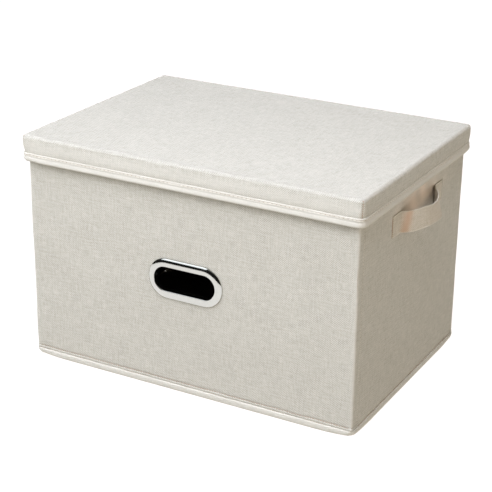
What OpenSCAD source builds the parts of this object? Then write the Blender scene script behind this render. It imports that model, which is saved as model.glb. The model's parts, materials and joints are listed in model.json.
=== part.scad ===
// Collapsible fabric storage bin with a lift-off lid.
// Front faces -Y, right side +X, floor at z = 0, origin under the middle of the bin.
// The side panels crease inwards, so the back panel closes up against the front panel,
// after the two-leaf base has been turned up against the front panel.

/* [Bin] */
// Width of the body, over its side panels
body_w = 448; // [420:1:480]
// Depth of the body, over its front and back panels
body_d = 314; // [290:1:330]
// Height of the closed bin, lid included
total_h = 296; // [286:1:320]
// Radius of the body's upright corners
corner_r = 3; // [2:0.5:4]

/* [Walls] */
// Thickness of the linen cover
fabric_t = 1; // [0.8:0.1:1]
// Thickness of the stiffening board
board_t = 2.5; // [2.2:0.1:2.5]
// Thickness of the lining
lining_t = 0.8; // [0.5:0.1:0.8]
// Thickness of the tape along the rim
rim_t = 1; // [0.6:0.1:1.5]
// Height of the walls' lower edges, just above the base
wall_z = 5; // [4.6:0.1:6]

/* [Lid] */
// How far the lid's cover stands out past the body on each side
lid_overhang = 5.4; // [5.2:0.1:8]
// Height of the lid, from its lower edge to its top
lid_h = 32; // [28:1:40]
// Corner radius of the lid
lid_r = 9; // [7:0.5:12]
// Height of the binding round the lid's lower edge
lid_binding_h = 10; // [6:0.5:14]
// How far the binding stands out from the lid
lid_binding_t = 1.2; // [0.8:0.1:2]

/* [Grommet] */
// Length of the oval grommet
grommet_w = 102; // [95:1:110]
// Height of the oval grommet
grommet_h = 52; // [48:1:56]
// Length of its opening
slot_w = 84; // [76:1:86]
// Height of its opening
slot_h = 31; // [26:1:34]
// Height of its middle above the floor
grommet_z = 148; // [120:1:170]
// Thickness of its face ring
face_ring_t = 2; // [1.5:0.1:3]
// Thickness of its back ring
back_ring_t = 1.2; // [0.8:0.1:1.2]

/* [Handles] */
// Width of the strap
strap_h = 27; // [22:1:32]
// Thickness of the strap
strap_t = 1.6; // [1.2:0.1:1.8]
// Distance between the two slits that the strap passes through
slit_span = 150; // [130:1:156]
// Place of the strap's middle along the side
strap_y = 9; // [4:1:12]
// Height of the strap's middle above the floor
strap_z = 232; // [200:1:240]
// How far the strap lies flat before it bows out
strap_flat = 20; // [10:1:25]
// How far the strap bows out from the side
strap_bow = 20; // [14:1:22]

/* [Base] */
// Thickness of each leaf's board
leaf_board_t = 1.8; // [1.6:0.1:1.8]
// Thickness of the cover on each face of a leaf
leaf_cover_t = 0.4; // [0.3:0.1:0.4]

/* [Bottom] */
// Thickness of the bottom fabric
bottom_t = 1; // [0.6:0.1:1]
// Height of the binding round the bottom edge
bottom_binding_h = 8; // [6:0.5:10]
// How far the bottom binding stands out from the walls
bottom_binding_t = 1.6; // [1:0.1:2.4]

/* [Hidden] */
$fn = 48;

// Colours
linen = [0.80, 0.78, 0.74];
cream = [0.87, 0.85, 0.81];
strap_linen = [0.72, 0.68, 0.60];
greyboard = [0.62, 0.56, 0.47];
lining_cloth = [0.84, 0.82, 0.77];
chrome = [0.82, 0.83, 0.85];

// Clearances
lid_gap = 0.5;     // between the rim and the lid's lining
hinge_gap = 0.2;   // between a panel's edge and the line that it turns on
crease_gap = 0.3;  // between a side panel's edge and the crease line
leaf_gap = 0.3;    // round the leaves of the base
slit_play = 0.8;   // how much wider a slit is than the strap
strap_off = 0.3;   // between the strap and the side that it lies on
ring_play = 0.3;   // round the grommet's barrel
barrel_t = 1.2;    // wall of the grommet's barrel

// The walls' layers, from outside to inside
wall_t = fabric_t + board_t + lining_t;
half_w = body_w / 2;
half_d = body_d / 2;
inner_x = half_w - wall_t;
inner_y = half_d - wall_t;
rim_z = total_h - wall_t - lid_gap;
wall_top = rim_z - rim_t;

// The folding base, its turning lines and the room that it needs when turned up
leaf_t = leaf_board_t + 2 * leaf_cover_t;
leaf_z = bottom_t + leaf_gap;
leaf_x = inner_x - 2.2;
base_hinge_y = -inner_y + back_ring_t + leaf_gap;
base_length = inner_y - 1.7 - base_hinge_y;
base_crease_y = base_hinge_y + base_length / 2;
base_stack = 2 * leaf_t + 2 * leaf_gap;

// The side panels' turning lines: at the front and at the back on the inner face,
// and at the crease 0.4 outside the outer face, so that the outer faces can close up
tab_t = 1;
fold_front_y = base_hinge_y + base_stack + leaf_gap;
fold_rear_y = inner_y - tab_t - 0.5;
crease_y = (fold_front_y + fold_rear_y) / 2;
front_half = [fold_front_y + hinge_gap, crease_y - crease_gap];
rear_half = [crease_y + crease_gap, fold_rear_y - hinge_gap];

// The strap
slit_front = strap_y - slit_span / 2;
slit_rear = strap_y + slit_span / 2;
tab_length = 28;
strap_low = strap_z - strap_h / 2;

// The lid's layers
lid_w = body_w + 2 * lid_overhang;
lid_d = body_d + 2 * lid_overhang;
lid_z = total_h - lid_h;

module rounded_plan(w, d, r) {
    square([w - 2 * r, d], center = true);
    square([w, d - 2 * r], center = true);
    for (sx = [-1, 1], sy = [-1, 1])
        translate([sx * (w / 2 - r), sy * (d / 2 - r)]) circle(r = r);
}

module stadium(w, h) {
    square([w - h, h], center = true);
    for (s = [-1, 1]) translate([s * (w - h) / 2, 0]) circle(d = h);
}

// A box between two corners
module slab(low, high) {
    translate(low) cube(high - low);
}

// The left-hand twin of what it is given
module left_of() {
    mirror([1, 0, 0]) children();
}

// ---------- front and back panels ----------

// A stadium-shaped hole through the front wall
module front_hole(w, h) {
    translate([0, -half_d - 10, grommet_z]) rotate([-90, 0, 0])
        linear_extrude(height = 30) stadium(w, h);
}

module grommet_hole() {
    front_hole(slot_w + 2 * (barrel_t + ring_play), slot_h + 2 * (barrel_t + ring_play));
}

// The linen of the front panel, which turns round both corners
module front_cover_plan() {
    difference() {
        intersection() {
            rounded_plan(body_w, body_d, corner_r);
            translate([-half_w, -half_d]) square([body_w, wall_t]);
        }
        translate([-half_w + fabric_t, -half_d + fabric_t]) square([body_w - 2 * fabric_t, wall_t]);
    }
}

module front_outer_fabric() {
    color(linen) difference() {
        translate([0, 0, wall_z]) linear_extrude(height = wall_top - wall_z) front_cover_plan();
        grommet_hole();
    }
}

module front_board() {
    color(greyboard) difference() {
        slab([-half_w + fabric_t, -half_d + fabric_t, wall_z],
             [half_w - fabric_t, -inner_y - lining_t, wall_top]);
        grommet_hole();
    }
}

module front_lining() {
    color(lining_cloth) difference() {
        slab([-half_w + fabric_t, -inner_y - lining_t, wall_z],
             [half_w - fabric_t, -inner_y, wall_top]);
        grommet_hole();
    }
}

module front_rim_tape() {
    color(cream) translate([0, 0, wall_top]) linear_extrude(height = rim_t) intersection() {
        rounded_plan(body_w, body_d, corner_r);
        translate([-half_w, -half_d]) square([body_w, wall_t]);
    }
}

// The back panel is the front panel's shape, turned about, without the grommet.
// Its linen also reaches forward over the play beside the side panels.
module back_outer_fabric() {
    color(linen) {
        mirror([0, 1, 0]) translate([0, 0, wall_z])
            linear_extrude(height = wall_top - wall_z) front_cover_plan();
        for (x = [-half_w, half_w - fabric_t])
            slab([x, fold_rear_y, wall_z], [x + fabric_t, inner_y, wall_top]);
    }
}

module back_board() {
    color(greyboard) slab([-half_w + fabric_t, inner_y + lining_t, wall_z],
                          [half_w - fabric_t, half_d - fabric_t, wall_top]);
}

module back_lining() {
    color(lining_cloth) slab([-half_w + fabric_t, inner_y, wall_z],
                             [half_w - fabric_t, inner_y + lining_t, wall_top]);
}

module back_rim_tape() {
    color(cream) mirror([0, 1, 0]) front_rim_tape();
}

// ---------- grommet ----------

// The face ring and the barrel that is clinched through the wall
module grommet_face_ring() {
    color(chrome) difference() {
        union() {
            translate([0, -half_d - face_ring_t, grommet_z]) rotate([-90, 0, 0])
                linear_extrude(height = face_ring_t) stadium(grommet_w, grommet_h);
            translate([0, -half_d, grommet_z]) rotate([-90, 0, 0])
                linear_extrude(height = wall_t + back_ring_t)
                    stadium(slot_w + 2 * barrel_t, slot_h + 2 * barrel_t);
        }
        front_hole(slot_w, slot_h);
    }
}

module grommet_back_ring() {
    color(chrome) difference() {
        translate([0, -inner_y, grommet_z]) rotate([-90, 0, 0])
            linear_extrude(height = back_ring_t) stadium(grommet_w - 4, grommet_h - 4);
        grommet_hole();
    }
}

// ---------- bottom ----------

module bottom_fabric() {
    color(cream) linear_extrude(height = bottom_t) rounded_plan(body_w, body_d, corner_r);
}

// The whole ring of binding round the bottom edge
module bottom_binding() {
    linear_extrude(height = bottom_binding_h) difference() {
        rounded_plan(body_w + 2 * bottom_binding_t, body_d + 2 * bottom_binding_t,
                     corner_r + bottom_binding_t);
        rounded_plan(body_w, body_d, corner_r);
    }
}

module bottom_binding_front() {
    color(cream) intersection() {
        bottom_binding();
        slab([-body_w, -body_d, -1], [body_w, -inner_y, 20]);
    }
}

module bottom_binding_back() {
    color(cream) intersection() {
        bottom_binding();
        slab([-body_w, inner_y, -1], [body_w, body_d, 20]);
    }
}

module bottom_binding_right() {
    color(cream) slab([half_w, -inner_y, 0], [half_w + bottom_binding_t, inner_y, bottom_binding_h]);
}

module bottom_binding_left() {
    left_of() bottom_binding_right();
}

// Soft corner between the front panel and a side panel's board,
// which leaves room for the turned-up base when the sides fold in
module right_corner_gusset() {
    color(linen) slab([inner_x, -inner_y, wall_z], [half_w, fold_front_y - hinge_gap, rim_z]);
}

module left_corner_gusset() {
    left_of() right_corner_gusset();
}

// ---------- side panels ----------

// One layer of half a side panel, with the slits for the strap
module side_layer(x_low, x_high, half) {
    difference() {
        slab([x_low, half[0], wall_z], [x_high, half[1], wall_top]);
        for (y = [slit_front, slit_rear])
            slab([inner_x - 1, y - (strap_t + slit_play) / 2, strap_low - 0.5],
                 [half_w + 1, y + (strap_t + slit_play) / 2, strap_low + strap_h + 0.5]);
    }
}

module side_fabric(half) {
    color(linen) side_layer(half_w - fabric_t, half_w, half);
}

module side_board(half) {
    color(greyboard) side_layer(inner_x + lining_t, half_w - fabric_t, half);
}

module side_lining(half) {
    color(lining_cloth) side_layer(inner_x, inner_x + lining_t, half);
}

module side_rim_tape(half) {
    color(cream) slab([inner_x, half[0], wall_top], [half_w, half[1], rim_z]);
}

module right_front_fabric() { side_fabric(front_half); }
module right_front_board() { side_board(front_half); }
module right_front_lining() { side_lining(front_half); }
module right_front_rim_tape() { side_rim_tape(front_half); }
module right_rear_fabric() { side_fabric(rear_half); }
module right_rear_board() { side_board(rear_half); }
module right_rear_lining() { side_lining(rear_half); }
module right_rear_rim_tape() { side_rim_tape(rear_half); }

module left_front_fabric() { left_of() side_fabric(front_half); }
module left_front_board() { left_of() side_board(front_half); }
module left_front_lining() { left_of() side_lining(front_half); }
module left_front_rim_tape() { left_of() side_rim_tape(front_half); }
module left_rear_fabric() { left_of() side_fabric(rear_half); }
module left_rear_board() { left_of() side_board(rear_half); }
module left_rear_lining() { left_of() side_lining(rear_half); }
module left_rear_rim_tape() { left_of() side_rim_tape(rear_half); }

// ---------- handles ----------

// The strap seen from above: through the front slit, flat on the side,
// then in a bow, and flat again to the rear slit
module strap_plan() {
    face = half_w + strap_off;
    bow_start = slit_front + strap_flat;
    bow_end = slit_rear - strap_flat;
    chord = bow_end - bow_start;
    bow_r = (chord * chord / 4 + strap_bow * strap_bow) / (2 * strap_bow);
    for (y = [slit_front, slit_rear])
        translate([inner_x - tab_t, y - strap_t / 2]) square([wall_t + tab_t + strap_off + strap_t, strap_t]);
    for (y = [slit_front, bow_end])
        translate([face, y]) square([strap_t, strap_flat]);
    intersection() {
        translate([face + strap_bow - bow_r + strap_t / 2, (bow_start + bow_end) / 2]) difference() {
            circle(r = bow_r + strap_t / 2, $fn = 120);
            circle(r = bow_r - strap_t / 2, $fn = 120);
        }
        translate([face, bow_start - strap_t]) square([2 * strap_bow, chord + 2 * strap_t]);
    }
}

module right_handle_strap() {
    color(strap_linen) translate([0, 0, strap_low]) linear_extrude(height = strap_h) strap_plan();
}

// The strap's ends, sewn flat inside the bin
module right_handle_front_tab() {
    color(strap_linen) slab([inner_x - tab_t, slit_front - strap_t / 2 - tab_length, strap_low],
                            [inner_x, slit_front - strap_t / 2, strap_low + strap_h]);
}

module right_handle_rear_tab() {
    color(strap_linen) slab([inner_x - tab_t, slit_rear + strap_t / 2 + crease_gap, strap_low],
                            [inner_x, slit_rear + strap_t / 2 + tab_length, strap_low + strap_h]);
}

module left_handle_strap() { left_of() right_handle_strap(); }
module left_handle_front_tab() { left_of() right_handle_front_tab(); }
module left_handle_rear_tab() { left_of() right_handle_rear_tab(); }

// ---------- folding base ----------

module leaf_board(y_low, y_high) {
    color(greyboard) slab([-leaf_x, y_low, leaf_z + leaf_cover_t],
                          [leaf_x, y_high, leaf_z + leaf_cover_t + leaf_board_t]);
}

// A sleeve of cloth, closed along the edges and open at the ends
module leaf_cover(y_low, y_high) {
    color(lining_cloth) difference() {
        slab([-leaf_x, y_low, leaf_z], [leaf_x, y_high, leaf_z + leaf_t]);
        slab([-leaf_x - 1, y_low + leaf_cover_t, leaf_z + leaf_cover_t],
             [leaf_x + 1, y_high - leaf_cover_t, leaf_z + leaf_cover_t + leaf_board_t]);
    }
}

module base_front_board() {
    leaf_board(base_hinge_y + hinge_gap + leaf_cover_t, base_crease_y - hinge_gap - leaf_cover_t);
}

module base_front_cover() {
    leaf_cover(base_hinge_y + hinge_gap, base_crease_y - hinge_gap);
}

module base_rear_board() {
    leaf_board(base_crease_y + hinge_gap + leaf_cover_t,
               base_crease_y + base_length / 2 - hinge_gap - leaf_cover_t);
}

module base_rear_cover() {
    leaf_cover(base_crease_y + hinge_gap, base_crease_y + base_length / 2 - hinge_gap);
}

// ---------- lid ----------

// The lid's outline, drawn in by a distance
module lid_plan(inset) {
    rounded_plan(lid_w - 2 * inset, lid_d - 2 * inset, lid_r - inset);
}

module lid_top_fabric() {
    color(linen) translate([0, 0, total_h - fabric_t]) linear_extrude(height = fabric_t) lid_plan(0);
}

module lid_top_board() {
    color(greyboard) translate([0, 0, total_h - fabric_t - board_t])
        linear_extrude(height = board_t) lid_plan(fabric_t);
}

module lid_skirt_fabric() {
    color(linen) translate([0, 0, lid_z]) linear_extrude(height = lid_h - fabric_t) difference() {
        lid_plan(0);
        lid_plan(fabric_t);
    }
}

module lid_lining() {
    color(lining_cloth) {
        translate([0, 0, lid_z]) linear_extrude(height = lid_h - fabric_t - board_t) difference() {
            lid_plan(fabric_t + board_t);
            lid_plan(wall_t);
        }
        translate([0, 0, total_h - wall_t]) linear_extrude(height = lining_t)
            lid_plan(fabric_t + board_t);
    }
}

module lid_binding() {
    color(cream) translate([0, 0, lid_z]) linear_extrude(height = lid_binding_h) difference() {
        lid_plan(-lid_binding_t);
        lid_plan(0);
    }
}

// A stiffener in the lid's skirt, which stops short of the rounded corners
module lid_skirt_board_front() {
    color(greyboard) slab([-lid_w / 2 + lid_r, -lid_d / 2 + fabric_t, lid_z],
                          [lid_w / 2 - lid_r, -lid_d / 2 + fabric_t + board_t, total_h - fabric_t - board_t]);
}

module lid_skirt_board_right() {
    color(greyboard) slab([lid_w / 2 - fabric_t - board_t, -lid_d / 2 + lid_r, lid_z],
                          [lid_w / 2 - fabric_t, lid_d / 2 - lid_r, total_h - fabric_t - board_t]);
}

module lid_skirt_board_back() { mirror([0, 1, 0]) lid_skirt_board_front(); }
module lid_skirt_board_left() { left_of() lid_skirt_board_right(); }

front_outer_fabric();
front_board();
front_lining();
front_rim_tape();
grommet_face_ring();
grommet_back_ring();
bottom_fabric();
bottom_binding_front();
bottom_binding_right();
bottom_binding_back();
bottom_binding_left();
right_corner_gusset();
left_corner_gusset();
right_front_fabric();
right_front_board();
right_front_lining();
right_front_rim_tape();
right_rear_fabric();
right_rear_board();
right_rear_lining();
right_rear_rim_tape();
right_handle_strap();
right_handle_front_tab();
right_handle_rear_tab();
left_front_fabric();
left_front_board();
left_front_lining();
left_front_rim_tape();
left_rear_fabric();
left_rear_board();
left_rear_lining();
left_rear_rim_tape();
left_handle_strap();
left_handle_front_tab();
left_handle_rear_tab();
back_outer_fabric();
back_board();
back_lining();
back_rim_tape();
base_front_board();
base_front_cover();
base_rear_board();
base_rear_cover();
lid_top_fabric();
lid_top_board();
lid_skirt_fabric();
lid_lining();
lid_binding();
lid_skirt_board_front();
lid_skirt_board_back();
lid_skirt_board_right();
lid_skirt_board_left();
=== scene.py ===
import json
import math
import bmesh
import bpy
import numpy as np
from mathutils import Matrix, Vector, noise


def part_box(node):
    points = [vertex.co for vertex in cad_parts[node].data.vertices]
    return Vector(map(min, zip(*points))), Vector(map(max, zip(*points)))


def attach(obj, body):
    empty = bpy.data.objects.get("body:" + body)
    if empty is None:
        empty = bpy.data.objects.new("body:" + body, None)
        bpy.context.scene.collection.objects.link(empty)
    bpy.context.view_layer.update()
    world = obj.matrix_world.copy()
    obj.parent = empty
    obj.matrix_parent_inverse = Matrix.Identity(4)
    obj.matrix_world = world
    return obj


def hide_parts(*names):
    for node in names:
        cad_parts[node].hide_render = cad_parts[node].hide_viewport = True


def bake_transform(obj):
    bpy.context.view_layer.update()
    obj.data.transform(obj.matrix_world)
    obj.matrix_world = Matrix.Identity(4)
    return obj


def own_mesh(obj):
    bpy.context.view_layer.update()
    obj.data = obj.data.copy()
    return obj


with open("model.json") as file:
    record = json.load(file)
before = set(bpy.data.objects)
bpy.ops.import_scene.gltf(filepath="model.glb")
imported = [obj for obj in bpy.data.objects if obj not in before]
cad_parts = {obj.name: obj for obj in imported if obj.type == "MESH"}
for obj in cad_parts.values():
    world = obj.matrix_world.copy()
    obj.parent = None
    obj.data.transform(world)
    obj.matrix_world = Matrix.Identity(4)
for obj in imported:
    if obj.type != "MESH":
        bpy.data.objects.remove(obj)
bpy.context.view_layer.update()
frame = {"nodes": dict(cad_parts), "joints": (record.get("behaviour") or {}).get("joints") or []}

MM = 0.001

# ---------- places and sizes, from the frame ----------

front_low, front_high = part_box("front_outer_fabric")
half_w = front_high.x
half_d = -front_low.y
wall_z = front_low.z
wall_top = front_high.z
rim_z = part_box("front_rim_tape")[1].z
inner_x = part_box("right_front_lining")[0].x
inner_y = -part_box("front_lining")[1].y
fabric_t = half_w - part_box("right_front_board")[1].x
lining_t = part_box("right_front_board")[0].x - inner_x
wall_t = half_w - inner_x
corner_r = 3 * MM

side_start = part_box("right_front_fabric")[0].y
side_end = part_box("right_rear_fabric")[1].y
back_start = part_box("back_outer_fabric")[0].y
crease_y = next(j["pos_m"][1] for j in frame["joints"] if j["name"] == "right_crease")
base_crease_y = next(j["pos_m"][1] for j in frame["joints"] if j["name"] == "base_crease")

binding_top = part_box("bottom_binding_front")[1].z
binding_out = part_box("bottom_binding_right")[1].x - half_w

lid_low, lid_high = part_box("lid_skirt_fabric")
lid_half = (lid_high.x, lid_high.y)
lid_z = lid_low.z
lid_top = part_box("lid_top_fabric")[1].z
lid_binding_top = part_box("lid_binding")[1].z
lid_lining_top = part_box("lid_lining")[1].z

ring_low, ring_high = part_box("grommet_face_ring")
grommet_z = (ring_low.z + ring_high.z) / 2
ring_half_w = ring_high.x
ring_half_h = (ring_high.z - ring_low.z) / 2
# The grommet's opening
slot_half_w, slot_half_h = 42 * MM, 15.5 * MM

strap_low, strap_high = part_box("right_handle_strap")
strap_z = (strap_low.z + strap_high.z) / 2
strap_half_h = (strap_high.z - strap_low.z) / 2
# The slits in a side panel, between the strap's two sewn-down ends
slit_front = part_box("right_handle_front_tab")[1].y + 0.8 * MM
slit_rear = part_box("right_handle_rear_tab")[0].y - 1.1 * MM
slit_half = 1.2 * MM
slit_low = strap_low.z - 0.5 * MM
slit_high = strap_high.z + 0.5 * MM

SIDES = ((1, "right"), (-1, "left"))

# Places round the body: distances from the middle of its front, to the right
SIDE_MIDDLE = half_w + half_d
REAR_CORNER = half_w + 2 * half_d
HALF_TURN = 2 * half_w + 2 * half_d
SIDE_FROM = SIDE_MIDDLE + side_start
SIDE_TO = SIDE_MIDDLE + side_end
BACK_FROM = SIDE_MIDDLE + back_start
# Where a corner's cloth passes from the front panel to the strip beside it
CORNER_SPLIT = half_w + 3.3 * MM
# How much of each side, next to a corner, a rounded corner is drawn over
CORNER_ZONE = 12 * MM
PANELS = (("front", -CORNER_SPLIT, CORNER_SPLIT), ("back", BACK_FROM, 2 * HALF_TURN - BACK_FROM))
# The cloth's columns at a corner, in millimetres to each side of it
CORNER_STEPS = (-3, -2.2, -1.4, -0.7, 0, 0.7, 1.4, 2.2, 3)

# ---------- shapes ----------


def lines(start, end, step, *fixed):
    """Grid lines from start to end, about a step apart, with one at each fixed place between."""
    places = sorted({start, end, *[place for place in fixed if start < place < end]})
    out = []
    for a, b in zip(places, places[1:]):
        count = max(1, round((b - a) / step))
        out += [a + (b - a) * k / count for k in range(count)]
    return np.array(out + [end])


def near(places, *widths):
    """Extra grid lines on both sides of each place."""
    return [place + side * width for place in places for width in widths for side in (-1, 1)]


def bell(value, middle, width):
    return np.exp(-(((value - middle) / width) ** 2))


def ramp(value, start, end):
    """0 before start and 1 after end, smooth between."""
    t = np.clip((value - start) / (end - start), 0, 1)
    return t * t * (3 - 2 * t)


def fall(value, start, end):
    return 1 - ramp(value, start, end)


def grid(columns, rows):
    return np.meshgrid(columns, rows, indexing="ij")


def ripple(a, b, size, seed):
    """Smooth unevenness from about -1 to 1, with waves about the given size."""
    a, b = np.broadcast_arrays(a, b)
    flat = [noise.noise(Vector((x / size, y / size, seed))) for x, y in zip(a.ravel(), b.ravel())]
    return np.array(flat).reshape(a.shape) * 1.8


def stack(*parts):
    """Coordinates joined into points, or into UVs."""
    return np.stack(np.broadcast_arrays(*parts), axis=-1)


def run_along(a, b):
    """Distance along a path of points."""
    return np.concatenate([[0], np.cumsum(np.hypot(np.diff(a), np.diff(b)))])


def corner_turn(share, radius, zone):
    """A corner from the origin along +X and then +Y: points and normals at shares of its length."""
    straight = zone - radius
    arc = radius * math.pi / 2
    along = share * (2 * straight + arc)
    angle = np.clip((along - straight) / radius, 0, math.pi / 2)
    x = np.minimum(along, straight) + radius * np.sin(angle)
    y = radius * (1 - np.cos(angle)) + np.maximum(along - straight - arc, 0)
    return x, y, np.sin(angle), -np.cos(angle)


def outline(place, half, radius, zone=CORNER_ZONE):
    """Points and outward directions round a rounded rectangle.
    A place is a distance round the sharp rectangle from the middle of its front, to the right."""
    half_x, half_y = half
    half_turn = 2 * half_x + 2 * half_y
    place = (place + half_turn) % (2 * half_turn) - half_turn
    place, radius = np.broadcast_arrays(place, np.asarray(radius, float))
    side = np.where(place < 0, -1.0, 1.0)
    q = np.abs(place)
    to_back = half_x + 2 * half_y
    ax, ay, an, am = corner_turn((q - half_x + zone) / (2 * zone), radius, zone)
    bx, by, bn, bm = corner_turn((q - to_back + zone) / (2 * zone), radius, zone)
    zero = np.zeros_like(q)
    stretches = [q < half_x - zone, q < half_x + zone, q < to_back - zone, q < to_back + zone]
    x = np.select(stretches, [q, half_x - zone + ax, zero + half_x, half_x - by],
                  half_x - (q - to_back))
    y = np.select(stretches, [zero - half_y, ay - half_y, q - half_x - half_y, half_y - zone + bx],
                  zero + half_y)
    nx = np.select(stretches, [zero, an, zero + 1, -bm], zero)
    ny = np.select(stretches, [zero - 1, am, zero, bn], zero + 1)
    return side * x, y, side * nx, ny


def moved_out(line, z, offset):
    """Points at a height, moved out from an outline by the offset."""
    x, y, nx, ny = line
    return stack(x + nx * offset, y + ny * offset, z)


def round_body(place, z, offset, radius=corner_r):
    """A grid of points round the body, moved out by the offset."""
    return moved_out(outline(place, (half_w, half_d), radius), z, offset)


def from_front(place):
    """How far round the body a place is from the middle of its front, either way."""
    return np.abs((place + HALF_TURN) % (2 * HALF_TURN) - HALF_TURN)


def upright(facing, at, across, z):
    """A grid of points on an upright plane that faces a direction, across it and up it."""
    nx, ny = facing
    return stack(nx * at - ny * across, ny * at + nx * across, z)


def grid_normals(points, loop):
    if loop:
        along = np.roll(points, -1, 0) - np.roll(points, 1, 0)
    else:
        along = np.gradient(points, axis=0)
    normal = np.cross(along, np.gradient(points, axis=1))
    size = np.linalg.norm(normal, axis=-1, keepdims=True)
    return np.where(size > 1e-12, normal / np.maximum(size, 1e-12), (0.0, 0.0, 1.0))


def closed_sheet(name, outer, thickness, uv, keep=None, loop=False, wear_and_painted_light=0.0, top=None, weld=False):
    """A thin closed mesh: a grid of points, the same grid moved in, and walls along its edges.
    keep says which cells are there. top is the first row, and the UVs, of rows with their own.
    A loop's UVs have one more column than its points. weld closes the last row on itself."""
    n, m = outer.shape[:2]
    cells = (n if loop else n - 1, m - 1)
    keep = np.ones(cells, bool) if keep is None else keep
    inner = outer - thickness * grid_normals(outer, loop)
    wear_and_painted_light = np.broadcast_to(wear_and_painted_light, (n, m)).ravel()
    framed = np.pad(keep, 1)
    if loop:
        framed[0, 1:-1] = keep[-1]
        framed[-1, 1:-1] = keep[0]
    framed[:, -1] |= weld
    i, j = np.nonzero(keep)
    # Each side of a cell: its two corners, and the way to the cell beyond it
    sides = [((0, 0), (1, 0), (0, -1)), ((1, 0), (1, 1), (1, 0)),
             ((1, 1), (0, 1), (0, 1)), ((0, 1), (0, 0), (-1, 0))]
    ring = [(i + a[0], j + a[1]) for a, _, _ in sides]
    quads = [(ring, (0, 0, 0, 0), j), (ring[::-1], (1, 1, 1, 1), j)]
    for a, b, beside in sides:
        bare = ~framed[i + 1 + beside[0], j + 1 + beside[1]]
        first = (i[bare] + a[0], j[bare] + a[1])
        second = (i[bare] + b[0], j[bare] + b[1])
        quads.append(([second, first, first, second], (0, 0, 1, 1), j[bare]))
    faces, coordinates = [], []
    for corners, layers, row in quads:
        faces.append(stack(*[(ci % n) * m + cj + layer * n * m
                             for (ci, cj), layer in zip(corners, layers)]))
        spread = [uv[ci, cj] + layer * thickness for (ci, cj), layer in zip(corners, layers)]
        if top is not None:
            spread = [np.where((row >= top[0])[:, None], top[1][ci % n, cj], was)
                      for (ci, cj), was in zip(corners, spread)]
        coordinates.append(np.stack(spread, axis=1))
    coordinates = np.concatenate(coordinates)
    used, faces = np.unique(np.concatenate(faces), return_inverse=True)
    points = np.concatenate([outer.reshape(-1, 3), inner.reshape(-1, 3)])[used]
    worn_and_lit = np.concatenate([wear_and_painted_light, wear_and_painted_light])[used]
    return make_mesh(name, points, faces.reshape(-1, 4), coordinates, worn_and_lit, weld)


def make_mesh(name, points, faces, uv, wear_and_painted_light, weld=False):
    """uv holds a pair for each corner of each face, and the last argument a number for each point, which
    tints the colour for rubbed wear and for painted light and shade.
    """
    mesh = bpy.data.meshes.new(name)
    mesh.from_pydata(points.tolist(), [], faces.tolist())
    layer = mesh.uv_layers.new(name="UVMap")
    layer.data.foreach_set("uv", uv.astype(np.float32).ravel())
    worn_and_lit = mesh.attributes.new("wear_and_painted_light", "FLOAT", "POINT")
    worn_and_lit.data.foreach_set("value", wear_and_painted_light.astype(np.float32))
    if weld:
        edit = bmesh.new()
        edit.from_mesh(mesh)
        bmesh.ops.remove_doubles(edit, verts=edit.verts, dist=0.02 * MM)
        edit.to_mesh(mesh)
        edit.free()
    smooth(mesh, 180 if weld else 50)
    return link(name, mesh)


def link(name, data):
    obj = bpy.data.objects.new(name, data)
    bpy.context.scene.collection.objects.link(obj)
    return obj


def smooth(mesh, sharp_over=50):
    mesh.polygons.foreach_set("use_smooth", [True] * len(mesh.polygons))
    mesh.set_sharp_from_angle(angle=math.radians(sharp_over))
    mesh.update()


def swept_loop(name, sections):
    """A closed tube: rings of points round a closed path."""
    n, m = sections.shape[:2]
    i, j = grid(np.arange(n), np.arange(m))
    i, j = i.ravel(), j.ravel()
    corners = [(i, j), (i + 1, j), (i + 1, j + 1), (i, j + 1)]
    faces = stack(*[(ci % n) * m + cj % m for ci, cj in corners])
    uv = np.stack([stack(ci, cj) * MM for ci, cj in corners], axis=1)
    return make_mesh(name, sections.reshape(-1, 3), faces, uv, np.zeros(n * m))


def stitches(name, middles, directions, normals, length, radius):
    """Sewing stitches, each a short thread with rounded ends lying along its direction."""
    sides, points, faces = 6, [], []
    # Each ring's share of the length from the middle, and its share of the radius
    rings = [(-0.5, 0.15), (-0.4, 0.8), (0, 1), (0.4, 0.8), (0.5, 0.15)]
    for middle, along, normal in zip(middles, directions, normals):
        along, normal = Vector(along).normalized(), Vector(normal).normalized()
        across = along.cross(normal)
        base = len(points)
        for share, width in rings:
            for k in range(sides):
                turn = 2 * math.pi * k / sides
                out = math.cos(turn) * normal + math.sin(turn) * across
                points.append(Vector(middle) + along * share * length + out * radius * width)
        for ring in range(len(rings) - 1):
            for k in range(sides):
                a, b = base + ring * sides + k, base + ring * sides + (k + 1) % sides
                faces.append((a, b, b + sides, a + sides))
        faces.append(range(base + sides - 1, base - 1, -1))
        faces.append(range(len(points) - sides, len(points)))
    mesh = bpy.data.meshes.new(name)
    mesh.from_pydata(points, [], faces)
    edit = bmesh.new()
    edit.from_mesh(mesh)
    bmesh.ops.recalc_face_normals(edit, faces=edit.faces)
    edit.to_mesh(mesh)
    edit.free()
    smooth(mesh)
    return link(name, mesh)


def stitch_row(name, line, z, proud, length, radius):
    """Stitches that follow an outline at a height."""
    nx, ny = line[2:]
    return stitches(name, moved_out(line, z, proud), stack(-ny, nx, 0.0), stack(nx, ny, 0.0),
                    length, radius)


# ---------- materials ----------


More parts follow.
